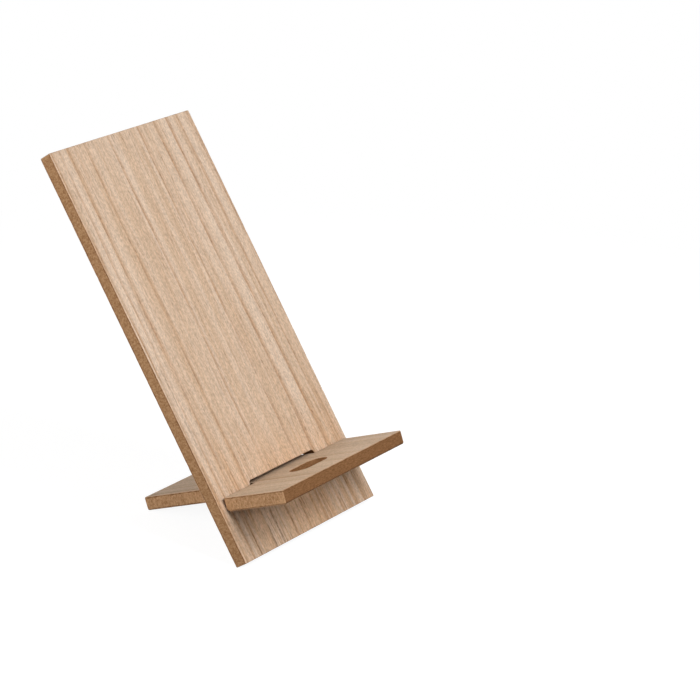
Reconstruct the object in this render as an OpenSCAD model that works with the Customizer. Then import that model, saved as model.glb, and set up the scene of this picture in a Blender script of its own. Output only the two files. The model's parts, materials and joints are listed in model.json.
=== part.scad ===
// Phone holder made of two thin boards that push together.
// A T-shaped shelf goes through a slot in a leaning back board: its wide front is the ledge,
// and its narrow tail is the rear foot. Each board is an MDF core with a sheet of wood veneer
// glued to either face.
//
// Frame: X is the width, the front of the shelf looks to -Y, and +Z is up. z = 0 is the table,
// and the origin is under the middle of the whole holder.

/* [Sheet material] */
// Thickness of the MDF core of both boards
core_t = 5; // [4:0.1:8]
// Thickness of each sheet of veneer
veneer_t = 0.4; // [0.3:0.1:0.8]

/* [Back board] */
// Width of the back board
board_w = 87; // [75:1:110]
// Height of the back board, along its slope
board_h = 180; // [120:1:240]
// Lean of the back board from the vertical, in degrees
board_lean = 33; // [26:0.5:40]
// Radius that sanding leaves on the thin edges of the board's two ends
board_edge_r = 0.5; // [0.2:0.1:1.5]
// Radius of the board's four corners, seen square to its face
board_corner_r = 1.2; // [0.4:0.1:4]

/* [Shelf] */
// Width of the ledge in front of the board
ledge_w = 80.5; // [60:0.5:100]
// Depth of the ledge, from its shoulders to its front edge
ledge_d = 31; // [24:0.5:45]
// Height of the ledge's top on the front of the board, along the slope from the board's lower end
ledge_h = 27.5; // [20:0.5:45]
// Rise of the shelf towards its front, in degrees from level
shelf_rise = 20; // [14:0.5:24]
// Width of the tail that goes through the board
tail_w = 40; // [28:1:64]
// Radius that sanding leaves on the thin edges of the shelf's front, shoulders and tail end
shelf_edge_r = 1; // [0.2:0.1:1.5]
// Radius of the shelf's outer corners, seen square to its face
shelf_corner_r = 0.8; // [0.4:0.1:4]

/* [Slot in the board] */
// Radius that the cutter leaves in the slot's four corners
slot_corner_r = 1.5; // [1:0.1:3]
// Play on either side of the tail, past the slot's rounded corners
slot_side_play = 0.1; // [0.05:0.05:1]
// Play between the tail and each of the two slot edges that it wedges on
slot_wedge_play = 0.1; // [0.05:0.05:0.5]
// Gap between the lower edge of the shoulders and the front of the board
shoulder_play = 0.1; // [0.05:0.05:0.5]

/* [Outlet through the ledge] */
// Length of the round-ended outlet, across the ledge
outlet_l = 19.5; // [13:0.5:40]
// Width of the outlet, along the depth of the ledge
outlet_w = 10; // [6:0.5:12]
// Distance from the shoulders to the outlet's centre line
outlet_back = 12.5; // [9:0.5:16]

/* [Hidden] */
$fn = 64;

// Colours of the raw board edge and of the veneer
mdf_colour = "#a17a55";
veneer_colour = "#d3b897";

// How far a cutting shape runs past the face that it cuts
overrun = 1;

// Thickness of a finished board, both boards being of the same sheet
sheet_t = core_t + 2 * veneer_t;

// How far the shelf is tilted off square to the board, which is what wedges it in the slot
tilt = board_lean - shelf_rise;

// A [y, z] place in a board's own frame, turned back by the board's slope
function turned(place, slope) = [place.x * cos(slope) + place.y * sin(slope),
                                 place.y * cos(slope) - place.x * sin(slope)];

// The lower rear edge of the back board rests on the table along its sanded radius
board_foot = turned([-board_edge_r, board_edge_r], board_lean);
board_z = board_edge_r - board_foot.y;

// Where the shelf's top meets the front of the board, seen from the foot of the board
meeting = turned([-sheet_t, ledge_h], board_lean) + [0, board_z];

// The shelf's own frame starts there, with y to the rear and z out of its top.
// The lower edge of the shoulders stops on the front of the board
shoulder_y = shelf_edge_r
    + ((shelf_edge_r - sheet_t) * sin(tilt) - shelf_edge_r - shoulder_play) / cos(tilt);
front_y = shoulder_y - ledge_d;
// The tail is long enough for its lower rear edge to rest on the table
tail_y = shelf_edge_r
    + (meeting.y + (shelf_edge_r - sheet_t) * cos(shelf_rise) - shelf_edge_r) / sin(shelf_rise);

// The slot reaches from the shelf's underside at the front of the board to its top at the rear
slot_low = ledge_h - sheet_t / cos(tilt) - slot_wedge_play;
slot_high = ledge_h + sheet_t * tan(tilt) + slot_wedge_play;
slot_w = tail_w + 2 * (slot_corner_r + slot_side_play);

// The footprint runs from the lower front edge of the ledge to the upper rear edge of the board
// or of the tail, whichever reaches further
ledge_nose = turned([front_y + shelf_edge_r, shelf_edge_r - sheet_t], shelf_rise);
board_head = turned([-board_edge_r, board_h - board_edge_r], board_lean);
tail_end = turned([tail_y - shelf_edge_r, -shelf_edge_r], shelf_rise);
footprint_front = meeting.x + ledge_nose.x - shelf_edge_r;
footprint_rear = max(board_head.x + board_edge_r, meeting.x + tail_end.x + shelf_edge_r);
board_y = -(footprint_front + footprint_rear) / 2;

// A rectangle with round corners, from the origin along +X and +Y
module rounded_rectangle(width, height, radius) {
    translate([radius, 0])
        square([width - 2 * radius, height]);
    translate([0, radius])
        square([width, height - 2 * radius]);
    for (x = [radius, width - radius], y = [radius, height - radius])
        translate([x, y])
            circle(r = radius);
}

// A slot with round ends, centred on the origin and long in X
module round_ended_slot(length, width) {
    square([length - width, width], center = true);
    for (side = [-1, 1])
        translate([side * (length - width) / 2, 0])
            circle(d = width);
}

// A [y, z] outline carried along X, centred on x = 0
module across(width) {
    translate([-width / 2, 0, 0])
        rotate([90, 0, 90])
            linear_extrude(width)
                children();
}

// Only what lies between two heights of a board of the given reach in its plan
module band(low, high, reach) {
    intersection() {
        children();
        translate([-reach, -reach, low])
            cube([2 * reach, 2 * reach, high - low]);
    }
}

// The back board lies on its rear face here: x is its width, y its length and z comes forward
module board_blank() {
    difference() {
        intersection() {
            across(board_w)
                rounded_rectangle(board_h, sheet_t, board_edge_r);
            translate([-board_w / 2, 0, 0])
                linear_extrude(sheet_t)
                    rounded_rectangle(board_w, board_h, board_corner_r);
        }
        translate([-slot_w / 2, slot_low, -overrun])
            linear_extrude(sheet_t + 2 * overrun)
                rounded_rectangle(slot_w, slot_high - slot_low, slot_corner_r);
    }
}

// One layer of the back board, stood up on its lower rear edge and leaned back
module board_layer(low, high) {
    translate([0, board_y, board_z])
        rotate([90 - board_lean, 0, 0])
            band(low, high, board_w + board_h)
                board_blank();
}

// A straight piece of the shelf between two places along its depth
module shelf_strip(width, from_y, to_y) {
    intersection() {
        translate([0, from_y, 0])
            across(width)
                rounded_rectangle(to_y - from_y, sheet_t, shelf_edge_r);
        translate([-width / 2, from_y, 0])
            linear_extrude(sheet_t)
                rounded_rectangle(width, to_y - from_y, shelf_corner_r);
    }
}

// The shelf lies on its underside here. Its tail starts in the middle of the ledge
module shelf_blank() {
    difference() {
        union() {
            shelf_strip(ledge_w, front_y, shoulder_y);
            shelf_strip(tail_w, shoulder_y - ledge_d / 2, tail_y);
        }
        translate([0, shoulder_y - outlet_back, -overrun])
            linear_extrude(sheet_t + 2 * overrun)
                round_ended_slot(outlet_l, outlet_w);
    }
}

// One layer of the shelf, in its place in the board
module shelf_layer(low, high) {
    translate([0, board_y + meeting.x, meeting.y])
        rotate([-shelf_rise, 0, 0])
            translate([0, 0, -sheet_t])
                band(low, high, ledge_w + ledge_d + tail_y)
                    shelf_blank();
}

// MDF core of the back board
module back_core() {
    color(mdf_colour)
        board_layer(veneer_t, veneer_t + core_t);
}

// Veneer on the front of the back board
module back_front_veneer() {
    color(veneer_colour)
        board_layer(veneer_t + core_t, sheet_t);
}

// Veneer on the rear of the back board
module back_rear_veneer() {
    color(veneer_colour)
        board_layer(0, veneer_t);
}

// MDF core of the shelf
module shelf_core() {
    color(mdf_colour)
        shelf_layer(veneer_t, veneer_t + core_t);
}

// Veneer on the top of the shelf
module shelf_top_veneer() {
    color(veneer_colour)
        shelf_layer(veneer_t + core_t, sheet_t);
}

// Veneer on the underside of the shelf
module shelf_under_veneer() {
    color(veneer_colour)
        shelf_layer(0, veneer_t);
}

back_core();
back_front_veneer();
back_rear_veneer();
shelf_core();
shelf_top_veneer();
shelf_under_veneer();
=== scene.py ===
"""Phone holder: two boards of oak-veneered MDF that push together, dressed for the render.

A T-shaped shelf goes through a slot in a leaning back board. Each board is an MDF core with a
sheet of oak veneer on either face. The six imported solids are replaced, one for one, by pieces
with sanded edges, chipped veneer, grain and glue lines. Lengths are in millimetres until a
mesh is made, and the world is in metres.
"""
import json
import math

import bpy
import numpy as np
from mathutils import Matrix, Vector


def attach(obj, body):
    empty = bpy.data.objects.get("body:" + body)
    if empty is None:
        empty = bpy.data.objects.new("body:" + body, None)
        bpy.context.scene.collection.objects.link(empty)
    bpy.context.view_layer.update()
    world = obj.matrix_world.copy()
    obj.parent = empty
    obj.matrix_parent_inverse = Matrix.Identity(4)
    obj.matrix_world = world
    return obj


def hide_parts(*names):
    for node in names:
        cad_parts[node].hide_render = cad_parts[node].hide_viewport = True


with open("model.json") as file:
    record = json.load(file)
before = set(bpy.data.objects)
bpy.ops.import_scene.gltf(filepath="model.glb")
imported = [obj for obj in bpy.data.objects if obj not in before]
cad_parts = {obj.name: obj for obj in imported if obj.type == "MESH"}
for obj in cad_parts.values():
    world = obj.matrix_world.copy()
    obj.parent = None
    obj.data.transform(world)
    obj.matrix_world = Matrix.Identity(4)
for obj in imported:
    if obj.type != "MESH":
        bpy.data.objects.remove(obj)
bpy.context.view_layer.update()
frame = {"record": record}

METRES = 0.001

# Sizes of the holder, the same as in the CAD source
CORE = 5.0
VENEER = 0.4
SHEET = CORE + 2 * VENEER
BOARD_W = 87.0
BOARD_H = 180.0
BOARD_LEAN = math.radians(33)
BOARD_EDGE = 0.5
LEDGE_W = 80.5
LEDGE_D = 31.0
LEDGE_H = 27.5
SHELF_RISE = math.radians(20)
TAIL_W = 40.0
SHELF_EDGE = 1.0
SLOT_CORNER = 1.5
SLOT_SIDE_PLAY = 0.1
SLOT_WEDGE_PLAY = 0.1
SHOULDER_PLAY = 0.1
OUTLET_L = 19.5
OUTLET_W = 10.0
OUTLET_BACK = 12.5

# How finely outlines are cut, in mm along a straight and in radians round an arc, and the least
# angle between two rays of a board's mesh
STRAIGHT_STEP = 0.6
ARC_STEP = math.radians(11)
LEAST_ANGLE = 4e-4

# The veneer's edge: the deepest chip, how often one comes, the fraying, and the flat margin
CHIP_DEPTH = 0.14
CHIP_EVERY = 5.5
FRAY = 0.012
MARGIN = 0.75


def turned(along, out, slope):
    """A place in a board's own frame turned back by its slope: the plane rotation by that angle."""
    return (along * math.cos(slope) + out * math.sin(slope),
            out * math.cos(slope) - along * math.sin(slope))


# Places that follow from those sizes
TILT = BOARD_LEAN - SHELF_RISE
FOOT = turned(-BOARD_EDGE, BOARD_EDGE, BOARD_LEAN)
BOARD_Z = BOARD_EDGE - FOOT[1]
MEETING = turned(-SHEET, LEDGE_H, BOARD_LEAN)
MEETING = (MEETING[0], MEETING[1] + BOARD_Z)
SHOULDER_Y = SHELF_EDGE + ((SHELF_EDGE - SHEET) * math.sin(TILT)
                           - SHELF_EDGE - SHOULDER_PLAY) / math.cos(TILT)
FRONT_Y = SHOULDER_Y - LEDGE_D
TAIL_Y = SHELF_EDGE + (MEETING[1] + (SHELF_EDGE - SHEET) * math.cos(SHELF_RISE)
                       - SHELF_EDGE) / math.sin(SHELF_RISE)
SLOT_LOW = LEDGE_H - SHEET / math.cos(TILT) - SLOT_WEDGE_PLAY
SLOT_HIGH = LEDGE_H + SHEET * math.tan(TILT) + SLOT_WEDGE_PLAY
SLOT_HALF = TAIL_W / 2 + SLOT_CORNER + SLOT_SIDE_PLAY
NOSE = turned(FRONT_Y + SHELF_EDGE, SHELF_EDGE - SHEET, SHELF_RISE)
HEAD = turned(-BOARD_EDGE, BOARD_H - BOARD_EDGE, BOARD_LEAN)
BOARD_Y = -(MEETING[0] + NOSE[0] - SHELF_EDGE + HEAD[0] + BOARD_EDGE) / 2


def on_board(flat):
    """Stands the back board up: x is kept, and (-height, along) is turned by the lean."""
    y, z = turned(-flat[..., 2], flat[..., 1], BOARD_LEAN)
    return np.stack([flat[..., 0], y + BOARD_Y, z + BOARD_Z], -1)


def on_shelf(flat):
    """Puts the shelf in its place: x is kept, and (along, height - sheet) is turned by the rise."""
    y, z = turned(flat[..., 1], flat[..., 2] - SHEET, SHELF_RISE)
    return np.stack([flat[..., 0], y + BOARD_Y + MEETING[0], z + MEETING[1]], -1)


# Outlines of the boards

def rounded_loop(corners, radii, sides):
    """A polygon, walked anticlockwise, with its corners turned to arcs.

    A corner's arc starts radius * tan(half the turn) before it. A place on the arc is its
    centre plus radius * outward normal, or minus it at an inner corner. sides gives each
    straight side's own values, and they blend along the arc from one side to the next.
    Returns one row for each place: x, y, normal x, normal y, the values, and how far into a
    corner's bend it is, from 0 on a straight to 1 halfway round the arc.
    """
    ahead = np.roll(corners, -1, 0) - corners
    length = np.linalg.norm(ahead, axis=1)
    ahead = ahead / length[:, None]
    arcs, cut = [], []
    for k in range(len(corners)):
        before, after = ahead[k - 1], ahead[k]
        turn = math.atan2(before[0] * after[1] - before[1] * after[0], before @ after)
        cut.append(radii[k] * math.tan(abs(turn) / 2))
        share = np.linspace(0, 1, 2 + int(abs(turn) / ARC_STEP))[:, None]
        heading = math.atan2(before[1], before[0]) + share * turn
        out = np.concatenate([np.sin(heading), -np.cos(heading)], 1)
        way = math.copysign(radii[k], turn)
        centre = corners[k] - before * cut[k] - way * out[0]
        arcs.append(np.concatenate([centre + way * out, out,
                                    sides[k - 1] + share * (sides[k] - sides[k - 1]),
                                    4 * share * (1 - share)], 1))
    runs = []
    for k, arc in enumerate(arcs):
        free = length[k] - cut[k] - cut[(k + 1) % len(arcs)]
        share = np.linspace(0, 1, 1 + max(1, math.ceil(free / STRAIGHT_STEP)))[1:-1, None]
        runs += [arc, arc[-1] + share * (arcs[(k + 1) % len(arcs)][0] - arc[-1])]
    return np.concatenate(runs)


def drawn_in(corners, radii, insets):
    """Each side of a polygon moved in by its own inset, and neighbouring sides crossed again.

    A side's line is normal . place = normal . corner - inset. An arc shrinks by the mean of
    its two insets at an outer corner, and grows by it at an inner one.
    """
    ahead = np.roll(corners, -1, 0) - corners
    out = np.stack([ahead[:, 1], -ahead[:, 0]], 1) / np.linalg.norm(ahead, axis=1)[:, None]
    level = (out * corners).sum(1) - insets
    before = np.roll(out, 1, 0)
    crossed = np.linalg.solve(np.stack([before, out], 1),
                              np.stack([np.roll(level, 1), level], 1)[..., None])[..., 0]
    turn = np.sign(before[:, 0] * out[:, 1] - before[:, 1] * out[:, 0])
    return crossed, np.maximum(radii - turn * (insets + np.roll(insets, 1)) / 2, 0.1)


def directions(places, centre):
    """The angle of each place, seen from a centre."""
    return np.arctan2(places[:, 1] - centre[1], places[:, 0] - centre[0])


class Board:
    """One board in its own plane, with the hole through it.

    An outline is its corners, the radius of each, and for each side the lower edge radius, the
    upper edge radius, and 1 where it is milled or 0 where it is sanded. Every row of a mesh is
    cut by the same rays from the middle of the hole, so rows never cross each other.
    """

    def __init__(self, outer, hole, middle):
        self.loops = [[np.array(part, float) for part in loop] for loop in (outer, hole)]
        self.middle = np.array(middle, float)
        rays = np.sort(np.concatenate([directions(rounded_loop(*loop), middle)
                                       for loop in self.loops]))
        self.rays = rays[np.diff(rays, prepend=rays[-1] - 2 * math.pi) > LEAST_ANGLE]

    def row(self, which, insets=0.0):
        """The outline (0) or the hole (1) with its sides drawn in, as places, normals, values."""
        corners, radii, sides = self.loops[which]
        way = (1, -1)[which]
        insets = way * np.broadcast_to(insets, len(corners))
        loop = rounded_loop(*drawn_in(corners, radii, insets), sides)
        seen = directions(loop, self.middle)
        found = np.stack([np.interp(self.rays, seen, part, period=2 * math.pi)
                          for part in loop.T], 1)
        normal = way * found[:, 2:4] / np.linalg.norm(found[:, 2:4], axis=1)[:, None]
        return found[:, :2], normal, found[:, 4:]

    def bitten(self, places, normals, bite):
        """Places moved in along their rays until they are a bite's depth behind the outline."""
        ray = np.stack([np.cos(self.rays), np.sin(self.rays)], 1)
        return places - ray * (bite / (normals * ray).sum(1))[:, None]


def way_round(places):
    """How far round a closed loop each of its places is, and the whole way round."""
    steps = np.linalg.norm(np.roll(places, -1, 0) - places, axis=1)
    return np.concatenate([[0], np.cumsum(steps)[:-1]]), steps.sum()


def wander(places, seed, longest, shortest):
    """Smooth closed noise of about -1 to 1: sines that fit a whole number of times round."""
    along, whole = way_round(places)
    draw = np.random.default_rng(seed)
    times = np.arange(max(1, round(whole / longest)), round(whole / shortest))
    phase = draw.uniform(0, 2 * math.pi, len(times))
    size = draw.normal(0, 1, len(times))
    waves = np.sin(2 * math.pi * along[:, None] / whole * times + phase) @ size
    return waves / (2 * np.sqrt((size ** 2).sum() / 2))


def chips(places, seed, every):
    """Small bites out of an edge: rounded humps of chance length and depth, one per so many mm."""
    along, whole = way_round(places)
    draw = np.random.default_rng(seed)
    count = int(whole / every)
    middle = draw.uniform(0, whole, count)
    half = draw.uniform(0.35, 1.7, count)
    depth = draw.uniform(0.2, 1, count) ** 2
    apart = np.abs(along[:, None] - middle)
    apart = np.minimum(apart, whole - apart) / half
    return (depth * np.clip(1 - apart ** 2, 0, 1)).max(1)


# The layers of a board

def eased(height, sides):
    """How far each side is drawn in at a height: a quarter circle at either face of the board."""
    low_r, top_r = sides[:, 0], sides[:, 1]
    low = np.clip(low_r - height, 0, None)
    top = np.clip(top_r - (SHEET - height), 0, None)
    return low_r - np.sqrt(low_r ** 2 - low ** 2) + top_r - np.sqrt(top_r ** 2 - top ** 2)


def closed_sheet(name, rows, gaps, place):
    """A closed shell: rows of places that go round the hole, wrapped in both directions.

    rows is (row, column, xyz) up the outer wall, in over the top, down the hole and back out
    underneath. gaps holds the point attributes, one array for each name.
    """
    rows = np.array(rows)
    tall, wide = rows.shape[:2]
    row, column = np.meshgrid(np.arange(tall), np.arange(wide), indexing="ij")
    row_on, column_on = (row + 1) % tall, (column + 1) % wide
    faces = np.stack([row * wide + column, row * wide + column_on,
                      row_on * wide + column_on, row_on * wide + column], -1).reshape(-1, 4)
    mesh = bpy.data.meshes.new(name)
    mesh.from_pydata((place(rows) * METRES).reshape(-1, 3), [], faces)
    for gap, size in gaps.items():
        layer = mesh.attributes.new(gap, "FLOAT", "POINT")
        layer.data.foreach_set("value", np.array(size).ravel())
    mesh.shade_smooth()
    mesh.set_sharp_from_angle(angle=math.radians(40))
    piece = bpy.data.objects.new(name, mesh)
    bpy.context.scene.collection.objects.link(piece)
    return piece


def lifted(places, height):
    """Flat places given one height."""
    return np.concatenate([places, np.full((len(places), 1), height)], 1)


def core_piece(name, board, place):
    """The MDF core: both walls between the two glue lines. Its faces lie under the veneer."""
    low = VENEER + np.array([0, 0.07, 0.16, 0.28, 0.44, 0.64, 0.9, 1.3])
    heights = np.concatenate([low, SHEET - low[::-1]])
    rows, milled, glue = [], [], []
    for which in (0, 1):
        for height in heights[::(1, -1)[which]]:
            inset = eased(height, board.loops[which][2])
            places, _, values = board.row(which, inset)
            rows.append(lifted(places, height))
            milled.append(values[:, 2])
            glue.append(np.full(len(places), min(height - VENEER, SHEET - VENEER - height)))
    return closed_sheet(name, rows, {"milled": milled, "from_glue": glue}, place)


def veneer_piece(name, board, side, seed, place):
    """A sheet of veneer: its two walls, and a flat face with a narrow flat margin at each edge.

    The margin keeps the shading of the eased edge off the flat. A chip bites deepest at the
    face, and less at a corner. On the lower side of a board the heights are mirrored and the
    rows run the other way.
    """
    under_face = np.array([VENEER, 0.3, 0.2, 0.13, 0.08, 0.045, 0.02, 0.005, 0])
    rows, glue = [], []
    for which in (0, 1):
        wall = []
        sides = board.loops[which][2]
        whole, normals, values = board.row(which)
        bite = CHIP_DEPTH * chips(whole, seed + which, CHIP_EVERY) * (1 - values[:, -1])
        fray = FRAY * (1.2 + wander(whole, seed + 20 + which, 12, 1.2))
        for depth in under_face:
            height = SHEET - depth if side > 0 else depth
            inset = eased(height, sides)
            places, _, _ = board.row(which, inset)
            share = 1 - depth / VENEER
            places = board.bitten(places, normals, fray + bite * (0.1 + 0.9 * share))
            wall.append((lifted(places, height), VENEER - depth))
        margin, _, _ = board.row(which, sides[:, 1 if side > 0 else 0] + MARGIN)
        wall.append((lifted(margin, height), VENEER))
        for places, over in wall[::(1, -1)[which]]:
            rows.append(places)
            glue.append(np.full(len(places), over))
    if side < 0:
        rows, glue = rows[::-1], glue[::-1]
    return closed_sheet(name, rows, {"from_glue": glue}, place)


def box_corners(half, low, high):
    """The four corners of a rectangle about x = 0, anticlockwise."""
    return [(-half, low), (half, low), (half, high), (-half, high)]


back = Board((box_corners(BOARD_W / 2, 0, BOARD_H), [0.3, 0.3, 0.5, 0.5],
              [(0.35, 0.3, 1), (0.1, 0.22, 0), (0.3, 0.35, 1), (0.1, 0.22, 0)]),
             (box_corners(SLOT_HALF, SLOT_LOW, SLOT_HIGH), [SLOT_CORNER] * 4,
              [(0.2, 0.2, 1)] * 4),
             (0, (SLOT_LOW + SLOT_HIGH) / 2))

LEDGE_X, TAIL_X, OUTLET_Y = LEDGE_W / 2, TAIL_W / 2, SHOULDER_Y - OUTLET_BACK
FRONT_SIDE, SIDE, SHOULDER, TAIL_END = (1.2, 0.4, 1), (0.3, 0.25, 0), (1.8, 0.35, 1), (1, 0.9, 1)
shelf = Board(([(-LEDGE_X, FRONT_Y), (LEDGE_X, FRONT_Y), (LEDGE_X, SHOULDER_Y),
                (TAIL_X, SHOULDER_Y), (TAIL_X, TAIL_Y), (-TAIL_X, TAIL_Y),
                (-TAIL_X, SHOULDER_Y), (-LEDGE_X, SHOULDER_Y)],
               [0.5, 0.5, 0.4, 0.5, 0.6, 0.6, 0.5, 0.4],
               [FRONT_SIDE, SIDE, SHOULDER, SIDE, TAIL_END, SIDE, SHOULDER, SIDE]),
              (box_corners(OUTLET_L / 2, OUTLET_Y - OUTLET_W / 2, OUTLET_Y + OUTLET_W / 2),
               [OUTLET_W / 2 - 0.001] * 4, [(0.25, 0.25, 1)] * 4),
              (0, OUTLET_Y))

pieces = {
    "back_core": core_piece("back_mdf", back, on_board),
    "back_front_veneer": veneer_piece("back_front_oak", back, 1, 100, on_board),
    "back_rear_veneer": veneer_piece("back_rear_oak", back, -1, 200, on_board),
    "shelf_core": core_piece("shelf_mdf", shelf, on_shelf),
    "shelf_top_veneer": veneer_piece("shelf_top_oak", shelf, 1, 300, on_shelf),
    "shelf_under_veneer": veneer_piece("shelf_under_oak", shelf, -1, 400, on_shelf),
}


# Materials

def linear(code):
    """An sRGB hex colour as linear RGBA, by the sRGB curve."""
    parts = [int(code[i:i + 2], 16) / 255 for i in (1, 3, 5)]
    return [p / 12.92 if p <= 0.04045 else ((p + 0.055) / 1.055) ** 2.4 for p in parts] + [1]


def node(tree, kind, out, inputs=(), **settings):
    """Adds a node, sets its own properties, sets or links its inputs, and gives one output."""
    made = tree.nodes.new("ShaderNode" + kind)
    for key, value in settings.items():
        setattr(made, key, value)
    for socket, value in dict(inputs).items():
        if isinstance(value, bpy.types.NodeSocket):
            tree.links.new(value, made.inputs[socket])
        else:
            made.inputs[socket].default_value = value
    return None if out is None else made.outputs[out]


def new_material(name):
    """An empty node material, and its tree."""
    made = bpy.data.materials.new(name)
    made.use_nodes = True
    made.node_tree.nodes.clear()
    return made, made.node_tree


def board_millimetres(tree, slope, origin):
    """Object coordinates laid flat: x across the board, y along it and z out of it, in mm."""
    place = node(tree, "TexCoord", "Object")
    start = Matrix.Rotation(slope, 3, "X") @ Vector(origin)
    return node(tree, "Mapping", 0, {"Vector": place, "Scale": [1 / METRES] * 3,
                                     "Rotation": (slope, 0, 0), "Location": -start})


# Size of each pattern across, along and through the sheet in mm, its octaves, and the range of
# the noise that is stretched out to a new range. Fibres are drawn 0.4 mm wide, because the real
# ones of 0.05 mm are too fine to show
OAK_PATTERNS = {
    "broad": ((5, 150, 5), 2, 0.34, 0.66, 0.0, 1.0),
    "warm": ((3.6, 80, 3.6), 1, 0.36, 0.64, 0.0, 1.0),
    "patchy": ((3, 22, 3), 1, 0.30, 0.66, 0.45, 1.0),
    "stripe": ((0.8, 30, 0.8), 2, 0.48, 0.70, 0.0, 1.0),
    "fibre": ((0.4, 6, 0.4), 3, 0.30, 0.70, 0.90, 1.08),
    "mottle": ((0.6, 1.1, 0.6), 2, 0.30, 0.70, 0.84, 1.14),
    "dash": ((0.42, 3.0, 0.42), 1, 0.57, 0.72, 0.0, 1.0),
    "broken": ((0.8, 2.4, 0.8), 2, 0.36, 0.56, 0.2, 1.0),
    "ragged": ((1.3, 1.3, 0.6), 3, 0.25, 0.75, 0.0, 1.0),
    "faint": ((4, 4, 4), 2, 0.35, 0.62, 0.3, 1.0),
}

# The mottle of the sanded sides runs a little through the sheet, and of milled faces along it
MDF_PATTERNS = {
    "cloud": ((9, 9, 5), 2, 0.30, 0.70, 0.97, 1.03),
    "mottle": ((0.75, 0.75, 1.1), 3, 0.33, 0.67, 0.0, 1.0),
    "drawn": ((1.7, 1.7, 0.36), 3, 0.33, 0.67, 0.0, 1.0),
    "fleck": ((0.6, 0.6, 0.5), 0, 0.68, 0.80, 0.0, 0.45),
    "ragged": ((1.2, 1.2, 0.6), 3, 0.25, 0.75, 0.0, 1.0),
    "faint": ((4, 4, 4), 2, 0.35, 0.62, 0.35, 1.0),
}
SEED_STEP = 7.3

# Palest wood, body, brown of the lower end (the wood's figure, and partly painted warm shade
# under the ledge), growth lines, open pores, cut edge, glue
FACE_TONES = ("#e0c7b0", "#d3b599", "#d0a276", "#b0825a", "#704b29", "#bd9470", "#6f4b2d")
# The shelf's tones are the board's oak laid a little darker and greyer: partly painted shade,
# standing in for the shade that falls on the shelf
SHADED_SHELF_TONES = ("#c6ad94", "#baa188", "#b99876", "#a58565", "#7d6048", "#b38a66", "#6f4b2d")

# Dark and light fibres of each board where it is sanded, and of both where they are milled, then
# the rubbed corner between a side and an end, the flecks, and the glue in the core
BACK_SANDED = ("#8c6441", "#b89069")
SHELF_SANDED = ("#976e4a", "#c99f77")
MILLED = ("#714c2d", "#986e4a")
ARRIS = "#c9a07a"
FLECK = "#6a4a2f"
CORE_GLUE = "#6b482c"

# Growth lines on the front of the board: x, strength, and how far each fades to the right
FRONT_LINES = [(-42.8, 0.9, 1.2), (-38.3, 0.7, 1.2), (-33.4, 0.8, 1.6), (-23.4, 0.7, 1.3),
               (-8.8, 0.8, 1.6), (9.8, 0.8, 1.4), (20.0, 0.8, 1.8), (27.8, 0.9, 2.3),
               (34.7, 0.8, 1.2), (41.3, 0.8, 1.4)]

# Streaks on the front of the board: x, from and to along it, width and strength
FRONT_STREAKS = [(-17.6, 0, 15, 0.75, 0.9), (-33.3, 0, 10, 0.6, 0.6), (-22.8, 0, 10, 0.6, 0.7),
                 (-31.4, 12, 18, 0.9, 0.5), (-8.3, 3, 9, 0.6, 0.6), (-40.4, 140, 163, 0.5, 0.4),
                 (-39.6, 45, 85, 0.9, 0.3), (-6.4, 172, 180, 0.5, 0.45)]


def grown(seed, width):
    """Growth lines across a sheet, by chance: x, strength, and how far each fades to the right."""
    draw = np.random.default_rng(seed)
    places = np.cumsum(draw.uniform(3.5, 1.8 * width / 9 - 3.5, 9)) - width / 2
    return [(x, draw.uniform(0.4, 1), draw.uniform(0.9, 2.2)) for x in places if x < width / 2 - 3]


def shaped_noises(tree, place, seed, roughness, easing, patterns):
    """One noise for each pattern, with part of its range stretched out to a range of its own."""
    shape = {}
    for turn, (key, (size, octaves, low, high, start, end)) in enumerate(patterns.items(), 1):
        scaled = node(tree, "VectorMath", 0, {0: place, 1: [1 / s for s in size]},
                      operation="MULTIPLY")
        raw = node(tree, "TexNoise", 0, {"Vector": scaled, "W": seed + SEED_STEP * turn,
                                         "Scale": 1, "Detail": octaves, "Roughness": roughness},
                   noise_dimensions="4D")
        shape[key] = node(tree, "MapRange", 0, {0: raw, 1: low, 2: high, 3: start, 4: end},
                          interpolation_type=easing)
    return shape


def glue_soaked(tree, colour, shape, reach, fade, tone):
    """Brown glue in the wood, unevenly: where ragged * depth + least passes the glue distance.

    reach is that depth and least in mm, and fade is the range over which it comes in.
    """
    from_glue = node(tree, "Attribute", "Fac", attribute_name="from_glue")
    depth, least = reach
    past = node(tree, "Math", 0, {0: shape["ragged"], 1: depth, 2: least},
                operation="MULTIPLY_ADD")
    past = node(tree, "Math", 0, {0: past, 1: from_glue}, operation="SUBTRACT")
    soaked = node(tree, "MapRange", 0, {0: past, 1: fade[0], 2: fade[1]})
    soaked = node(tree, "Math", 0, {0: soaked, 1: shape["faint"]}, operation="MULTIPLY")
    return node(tree, "Mix", 2, {0: soaked, 6: colour, 7: tone}, data_type="RGBA")


def dry_surface(tree, colour, rough, relief):
    """Bare wood with hardly any gloss, and a relief of 0.05 mm."""
    bump = node(tree, "Bump", 0, {"Height": relief, "Strength": 1.0, "Distance": 0.05 * METRES})
    shader = node(tree, "BsdfPrincipled", 0, {"Base Color": colour, "Roughness": rough,
                                              "Normal": bump, "IOR": 1.45,
                                              "Specular IOR Level": 0.1})
    node(tree, "OutputMaterial", None, {"Surface": shader})


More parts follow.
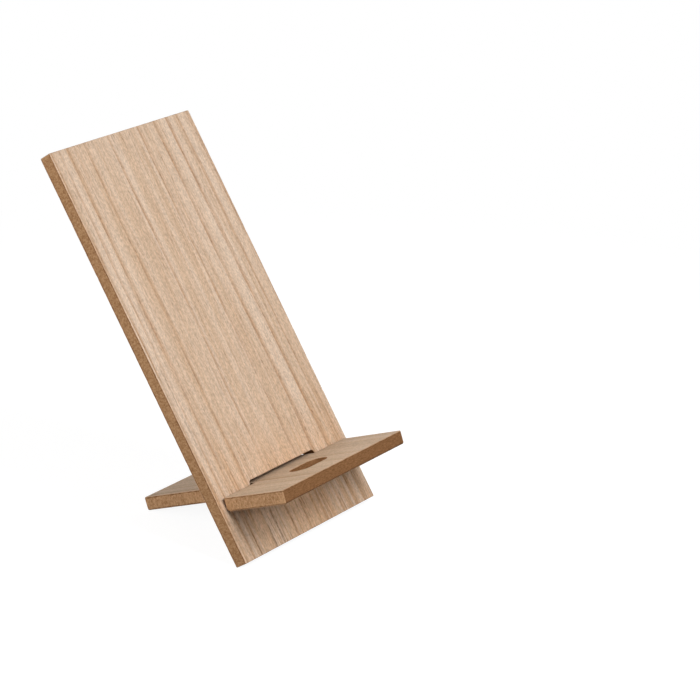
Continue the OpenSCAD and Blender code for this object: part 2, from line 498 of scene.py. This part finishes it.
def bent_grain(tree, flat, seed):
    """Places whose x wavers by about half a millimetre.

    Towards the lower right the figure also spreads, by up to 3.6 mm.
    """
    sway = node(tree, "VectorMath", 0, {0: flat, 1: (1 / 25, 1 / 60, 1 / 25)},
                operation="MULTIPLY")
    sway = node(tree, "TexNoise", "Color", {"Vector": sway, "W": seed, "Scale": 1, "Detail": 2},
                noise_dimensions="4D")
    sway = node(tree, "VectorMath", 0, {0: sway, 1: (0.5, 0.5, 0.5)}, operation="SUBTRACT")
    bent = node(tree, "VectorMath", 0, {0: sway, 1: (2.4, 0, 0), 2: flat},
                operation="MULTIPLY_ADD")
    right = node(tree, "SeparateXYZ", "X", {0: flat})
    right = node(tree, "MapRange", 0, {0: right, 1: 5.0, 2: 30.0, 3: 0.0, 4: 3.6})
    along = node(tree, "SeparateXYZ", "Y", {0: flat})
    spread = node(tree, "MapRange", 0, {0: along, 1: 0.0, 2: 175.0, 3: 1.0, 4: 0.0})
    spread = node(tree, "Math", 0, {0: right, 1: spread}, operation="MULTIPLY")
    spread = node(tree, "CombineXYZ", 0, {0: spread})
    return node(tree, "VectorMath", 0, {0: bent, 1: spread}, operation="SUBTRACT")


def growth_ramp(tree, across, width, lines):
    """A ramp across the sheet, up to its strength at each growth line and fading to its right."""
    share = node(tree, "MapRange", 0, {0: across, 1: -width / 2, 2: width / 2})
    ring = node(tree, "ValToRGB", 0, {0: share})
    ramp = ring.node.color_ramp
    ramp.elements[0].position, ramp.elements[1].position = 0, 1
    ramp.elements[0].color = ramp.elements[1].color = (0, 0, 0, 1)
    for x, strength, fade in lines:
        for place, level in ((x - 0.45, 0), (x, strength), (x + fade, 0)):
            ramp.elements.new(place / width + 0.5).color = (level, level, level, 1)
    return ring


def streaked(tree, colour, across, along, broken, streaks, tone):
    """Strong mineral streaks over a colour, each broken into dashes and faded out at its ends."""
    for x, low, high, wide, depth in streaks:
        off = node(tree, "Math", 0, {0: across, 1: x}, operation="SUBTRACT")
        off = node(tree, "Math", 0, {0: off}, operation="ABSOLUTE")
        mask = node(tree, "MapRange", 0, {0: off, 1: 0.1 * wide, 2: wide, 3: depth, 4: 0.0},
                    interpolation_type="SMOOTHSTEP")
        mid = node(tree, "Math", 0, {0: along, 1: (low + high) / 2}, operation="SUBTRACT")
        mid = node(tree, "Math", 0, {0: mid}, operation="ABSOLUTE")
        half = (high - low) / 2
        run = node(tree, "MapRange", 0, {0: mid, 1: half - 2, 2: half + 2, 3: 1.0, 4: 0.0},
                   interpolation_type="SMOOTHSTEP")
        mask = node(tree, "Math", 0, {0: mask, 1: run}, operation="MULTIPLY")
        mask = node(tree, "Math", 0, {0: mask, 1: broken}, operation="MULTIPLY")
        colour = node(tree, "Mix", 2, {0: mask, 6: colour, 7: tone}, data_type="RGBA")
    return colour


def oak_veneer(name, slope, origin, seed, width, tones, lines, bold, lower_end, streaks=()):
    """Sliced oak, glued down and sanded, with no lacquer.

    It looks matt and dry. Growth lines start sharply and fade to one side, short dark pores
    crowd along them, and the wood between is finely mottled. Towards lower_end the figure is
    bolder, and browner: partly the wood's figure, partly painted warm shade under the ledge.
    The cut edge is tan down to the ragged brown glue line.
    """
    made, tree = new_material(name)
    pale, body, brown, line, pore, edge, glue = (linear(tone) for tone in tones)
    flat = board_millimetres(tree, slope, origin)
    along = node(tree, "SeparateXYZ", "Y", {0: flat})
    bent = bent_grain(tree, flat, seed)
    across = node(tree, "SeparateXYZ", "X", {0: bent})
    shape = shaped_noises(tree, bent, seed, 0.6, "SMOOTHSTEP", OAK_PATTERNS)
    ring = growth_ramp(tree, across, width, lines)
    ring = node(tree, "Math", 0, {0: ring, 1: shape["patchy"]}, operation="MULTIPLY")

    # How strong the figure is: full at the lower end, and a little under half further up
    lower = node(tree, "MapRange", 0, {0: along, 1: lower_end[0], 2: lower_end[1], 3: 1.0,
                                       4: 0.0}, interpolation_type="SMOOTHSTEP")
    bolder = node(tree, "Math", 0, {0: lower, 1: 0.55, 2: 0.45}, operation="MULTIPLY_ADD")
    stripe = node(tree, "Math", 0, {0: shape["stripe"], 1: bolder}, operation="MULTIPLY")
    warm = node(tree, "Math", 0, {0: shape["warm"], 1: lower}, operation="MULTIPLY")

    # Pores crowd where a growth line or a stripe is, and a few lie between
    crowd = node(tree, "Math", 0, {0: ring, 1: stripe}, operation="MAXIMUM")
    crowd = node(tree, "Math", 0, {0: crowd, 1: 0.85, 2: 0.15}, operation="MULTIPLY_ADD")
    dash = node(tree, "Math", 0, {0: shape["dash"], 1: crowd}, operation="MULTIPLY")

    # Each layer of colour is laid over the ones before it, by its own share and weight
    colour = node(tree, "Mix", 2, {0: shape["broad"], 6: pale, 7: body}, data_type="RGBA")
    # The brown laid on towards the lower end is partly the wood's figure and partly painted warm
    # shade under the ledge
    for share, weight, tint in ((lower, 0.04, brown), (warm, 0.50, brown), (ring, 0.95, line),
                                (stripe, 0.65 * bold, line), (dash, 0.90 * bold, pore)):
        share = node(tree, "Math", 0, {0: share, 1: weight}, operation="MULTIPLY")
        colour = node(tree, "Mix", 2, {0: share, 6: colour, 7: tint}, data_type="RGBA")
    shade = node(tree, "Math", 0, {0: shape["fibre"], 1: shape["mottle"]}, operation="MULTIPLY")
    colour = node(tree, "VectorMath", 0, {0: colour, 1: shade}, operation="MULTIPLY")
    colour = streaked(tree, colour, across, along, shape["broken"], streaks, pore)

    # The cut edge of the sheet, tan, with the glue soaked into its inner half
    from_glue = node(tree, "Attribute", "Fac", attribute_name="from_glue")
    side = node(tree, "MapRange", 0, {0: from_glue, 1: 0.30, 2: 0.38, 3: 0.85, 4: 0.0})
    colour = node(tree, "Mix", 2, {0: side, 6: colour, 7: edge}, data_type="RGBA")
    colour = glue_soaked(tree, colour, shape, (0.22, 0.05), (-0.05, 0.06), glue)

    relief = node(tree, "Math", 0, {0: shape["fibre"], 1: 3.0}, operation="MULTIPLY")
    relief = node(tree, "Math", 0, {0: relief, 1: dash}, operation="SUBTRACT")
    rough = node(tree, "MapRange", 0, {0: shape["fibre"], 1: 0.90, 2: 1.08, 3: 0.60, 4: 0.74})
    dry_surface(tree, colour, rough, relief)
    return made


def raw_mdf(name, slope, origin, seed, sanded_tones, corner_y):
    """Medium-density fibreboard, bare, its long sides sanded and its ends and holes milled.

    It looks felted and matt: tan with a mottle of a millimetre, a few dark flecks and no
    grain. Milling leaves it darker and redder, with its fibres drawn out in the plane of the
    sheet. It darkens unevenly at the glue, and sanding leaves the corner at corner_y paler.
    """
    made, tree = new_material(name)
    dark, light = (linear(tone) for tone in sanded_tones)
    flat = board_millimetres(tree, slope, origin)
    along = node(tree, "SeparateXYZ", "Y", {0: flat})
    shape = shaped_noises(tree, flat, seed, 0.65, "LINEAR", MDF_PATTERNS)

    # Sanding leaves it light, milling darker, and the arris between a side and an end palest
    milled = node(tree, "Attribute", "Fac", attribute_name="milled")
    sanded = node(tree, "Mix", 2, {0: shape["mottle"], 6: dark, 7: light}, data_type="RGBA")
    sawn = node(tree, "Mix", 2, {0: shape["drawn"], 6: linear(MILLED[0]),
                                 7: linear(MILLED[1])}, data_type="RGBA")
    colour = node(tree, "Mix", 2, {0: milled, 6: sanded, 7: sawn}, data_type="RGBA")
    arris = node(tree, "Math", 0, {0: milled, 1: 0.5}, operation="SUBTRACT")
    arris = node(tree, "Math", 0, {0: arris}, operation="ABSOLUTE")
    arris = node(tree, "MapRange", 0, {0: arris, 1: 0.1, 2: 0.5, 3: 0.6, 4: 0.0})
    colour = node(tree, "Mix", 2, {0: arris, 6: colour, 7: linear(ARRIS)}, data_type="RGBA")

    # Broad clouds, a paler last few millimetres of the sanded side, and flecks
    rubbed = node(tree, "MapRange", 0, {0: along, 1: corner_y + 1, 2: corner_y + 5, 3: 1.09,
                                        4: 1.0})
    plain = node(tree, "Mix", 0, {0: milled, 2: rubbed, 3: 1.0})
    shade = node(tree, "Math", 0, {0: shape["cloud"], 1: plain}, operation="MULTIPLY")
    colour = node(tree, "VectorMath", 0, {0: colour, 1: shade}, operation="MULTIPLY")
    colour = node(tree, "Mix", 2, {0: shape["fleck"], 6: colour, 7: linear(FLECK)},
                  data_type="RGBA")
    colour = glue_soaked(tree, colour, shape, (0.62, -0.08), (-0.08, 0.10), linear(CORE_GLUE))

    relief = node(tree, "Mix", 0, {0: milled, 2: shape["mottle"], 3: shape["drawn"]})
    rough = node(tree, "MapRange", 0, {0: shape["mottle"], 3: 0.72, 4: 0.86})
    dry_surface(tree, colour, rough, relief)
    return made


BOARD_TURN = (BOARD_LEAN - math.pi / 2, (0, BOARD_Y, BOARD_Z))
SHELF_TURN = (SHELF_RISE, (0, BOARD_Y + MEETING[0], MEETING[1]))

finishes = {
    "back_core": raw_mdf("raw_mdf_back", *BOARD_TURN, 10, BACK_SANDED, -90),
    "shelf_core": raw_mdf("raw_mdf_shelf", *SHELF_TURN, 30, SHELF_SANDED, FRONT_Y),
    "back_front_veneer": oak_veneer("sanded_oak_back_front", *BOARD_TURN, 50, BOARD_W, FACE_TONES,
                                    FRONT_LINES, 1.0, (12, 62), FRONT_STREAKS),
    "back_rear_veneer": oak_veneer("sanded_oak_back_rear", *BOARD_TURN, 180, BOARD_W, FACE_TONES,
                                   grown(5, BOARD_W), 1.0, (12, 62)),
    "shelf_top_veneer": oak_veneer("sanded_oak_shelf_top", *SHELF_TURN, 310, LEDGE_W, SHADED_SHELF_TONES,
                                   grown(6, LEDGE_W), 0.5, (-90, -80)),
    "shelf_under_veneer": oak_veneer("sanded_oak_shelf_under", *SHELF_TURN, 440, LEDGE_W,
                                     SHADED_SHELF_TONES, grown(7, LEDGE_W), 0.7, (-90, -80)),
}

BODIES = {member: body for body, members in frame["record"]["behaviour"]["bodies"].items()
          for member in members}
for solid, piece in pieces.items():
    piece.data.materials.append(finishes[solid])
    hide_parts(solid)
    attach(piece, BODIES[solid])


# Floor, light and camera

# The floor's tone as it lights the object and as the camera sees it, and the glow added for the
# camera
BOUNCE_TONE = "#949494"
SEEN_TONE = "#747474"
SEEN_GLOW = 0.92


def white_floor(half, near, far):
    """A flat floor that the camera sees white, with the object's soft shadow near it.

    It throws light back up at the object like a mid-grey card. Within near of the middle the
    camera sees it as a darker card with a glow added, so that a shadow only dips below
    white there. From far outwards the camera sees plain white.
    """
    mesh = bpy.data.meshes.new("floor")
    mesh.from_pydata([(-half, -half, 0), (half, -half, 0), (half, half, 0), (-half, half, 0)],
                     [], [(0, 1, 2, 3)])
    floor = bpy.data.objects.new("floor", mesh)
    bpy.context.scene.collection.objects.link(floor)
    made, tree = new_material("white_card")
    camera = node(tree, "LightPath", "Is Camera Ray")
    gloss = node(tree, "LightPath", "Is Glossy Ray")
    seen = node(tree, "Math", 0, {0: camera, 1: gloss}, operation="ADD", use_clamp=True)
    place = node(tree, "TexCoord", "Object")
    reach = node(tree, "VectorMath", "Value", {0: place}, operation="LENGTH")
    away = node(tree, "MapRange", 0, {0: reach, 1: near, 2: far},
                interpolation_type="SMOOTHSTEP")
    glow = node(tree, "MapRange", 0, {0: seen, 3: 0.0, 4: SEEN_GLOW})
    tone = node(tree, "Mix", 2, {0: seen, 6: linear(BOUNCE_TONE), 7: linear(SEEN_TONE)},
                data_type="RGBA")
    card = node(tree, "BsdfDiffuse", 0, {"Color": tone})
    lift = node(tree, "Emission", 0, {"Color": (1, 1, 1, 1), "Strength": glow})
    close = node(tree, "AddShader", 0, {0: card, 1: lift})
    white = node(tree, "Emission", 0, {"Color": (1, 1, 1, 1), "Strength": 1.0})
    share = node(tree, "Math", 0, {0: seen, 1: away}, operation="MULTIPLY")
    both = node(tree, "MixShader", 0, {0: share, 1: close, 2: white})
    node(tree, "OutputMaterial", None, {"Surface": both})
    mesh.materials.append(made)


def white_room(level):
    """A world that is white to the camera and in gloss, and lights the object at one level."""
    world = bpy.data.worlds.new("white_room")
    world.use_nodes = True
    tree = world.node_tree
    tree.nodes.clear()
    camera = node(tree, "LightPath", "Is Camera Ray")
    gloss = node(tree, "LightPath", "Is Glossy Ray")
    through = node(tree, "LightPath", "Is Transmission Ray")
    seen = node(tree, "Math", 0, {0: camera, 1: gloss}, operation="ADD", use_clamp=True)
    seen = node(tree, "Math", 0, {0: seen, 1: through}, operation="ADD", use_clamp=True)
    strength = node(tree, "MapRange", 0, {0: seen, 3: level, 4: 1.0})
    light = node(tree, "Background", 0, {"Color": (1, 1, 1, 1), "Strength": strength})
    node(tree, "OutputWorld", None, {"Surface": light})
    bpy.context.scene.world = world


def softbox(name, place, aim, wide, tall, watts):
    """An oblong lamp, wide and tall in metres, pointed from place to aim."""
    lamp = bpy.data.lights.new(name, "AREA")
    lamp.shape = "RECTANGLE"
    lamp.size, lamp.size_y = wide, tall
    lamp.energy = watts
    holder = bpy.data.objects.new(name, lamp)
    holder.location = place
    holder.rotation_euler = (Vector(aim) - Vector(place)).to_track_quat("-Z", "Y").to_euler()
    bpy.context.scene.collection.objects.link(holder)


def photo_camera(azimuth, elevation, roll, distance, aim, lens):
    """A camera at two angles and a distance from its aim, rolled about its own view."""
    turn, lift = math.radians(azimuth), math.radians(elevation)
    back = Vector((math.sin(turn) * math.cos(lift), -math.cos(turn) * math.cos(lift),
                   math.sin(lift)))
    right = Vector((math.cos(turn), math.sin(turn), 0))
    axes = Matrix([right, back.cross(right), back]).transposed()
    data = bpy.data.cameras.new("camera")
    data.lens, data.sensor_width = lens, 36
    data.clip_start, data.clip_end = 0.01, 20
    camera = bpy.data.objects.new("camera", data)
    camera.matrix_world = (Matrix.Translation(Vector(aim) + back * distance) @ axes.to_4x4()
                           @ Matrix.Rotation(math.radians(roll), 4, "Z"))
    bpy.context.scene.collection.objects.link(camera)
    bpy.context.scene.camera = camera


# The main light is tall and in front. The sides get theirs from lamps just behind the plane of
# the board, so that those leave the shadow under the ledge as it is. The camera stands where
# the photograph was taken from
white_floor(3.0, 0.16, 0.45)
white_room(0.01)
softbox("front", (-0.03, -0.52, 0.50), (0, 0, 0.05), 0.25, 0.54, 3.75)
softbox("high_front", (0.0, -0.45, 0.62), (0, 0, 0.05), 0.30, 0.30, 0.80)
softbox("left", (-0.60, 0.12, 0.20), (0, 0, 0.07), 0.30, 0.30, 2.05)
softbox("left_rear", (-0.50, 0.40, 0.40), (0, 0, 0.07), 0.40, 0.40, 1.3)
softbox("right", (0.60, 0.14, 0.20), (0, 0, 0.07), 0.30, 0.30, 0.9)
softbox("right_rear", (0.45, 0.55, 0.40), (0, 0, 0.07), 0.40, 0.40, 0.9)
photo_camera(-54.298, 19.628, 0.534, 1.15373, (0.084909, 0, 0.046805), 136.467)
bpy.context.scene.view_settings.view_transform = "Standard"
